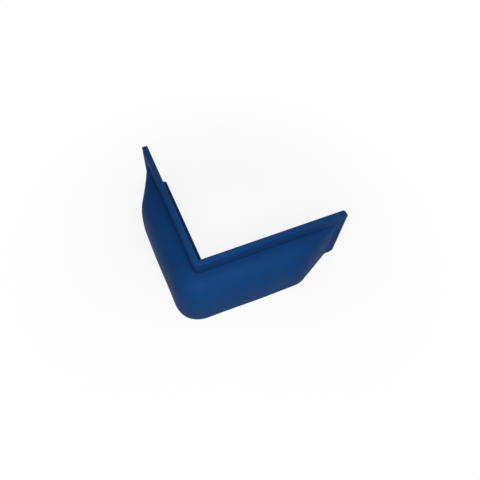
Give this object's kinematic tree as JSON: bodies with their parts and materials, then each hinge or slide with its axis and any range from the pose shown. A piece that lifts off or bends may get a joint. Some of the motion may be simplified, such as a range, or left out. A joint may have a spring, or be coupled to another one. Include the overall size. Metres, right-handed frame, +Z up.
{
  "type": "dock corner bumper",
  "caption": "L-shaped hollow vinyl bumper for the outside corner of a dock, with an upright flange, a crowned cushion that turns the corner, and a flat back pad.",
  "frame": {"origin": "middle of the part's box on its flat underside, which lies inside the L and off the material", "axes": "+Z up along the height of the flange; one arm runs along +X and the other along +Y from the corner at low X and low Y, so the dock lies on the +X +Y side"},
  "size_m": [0.301, 0.301, 0.115],
  "materials": {
    "vinyl": "satin moulded blue vinyl"
  },
  "bodies": {
    "root": {"bumper": "vinyl"}
  },
  "joints": []
}
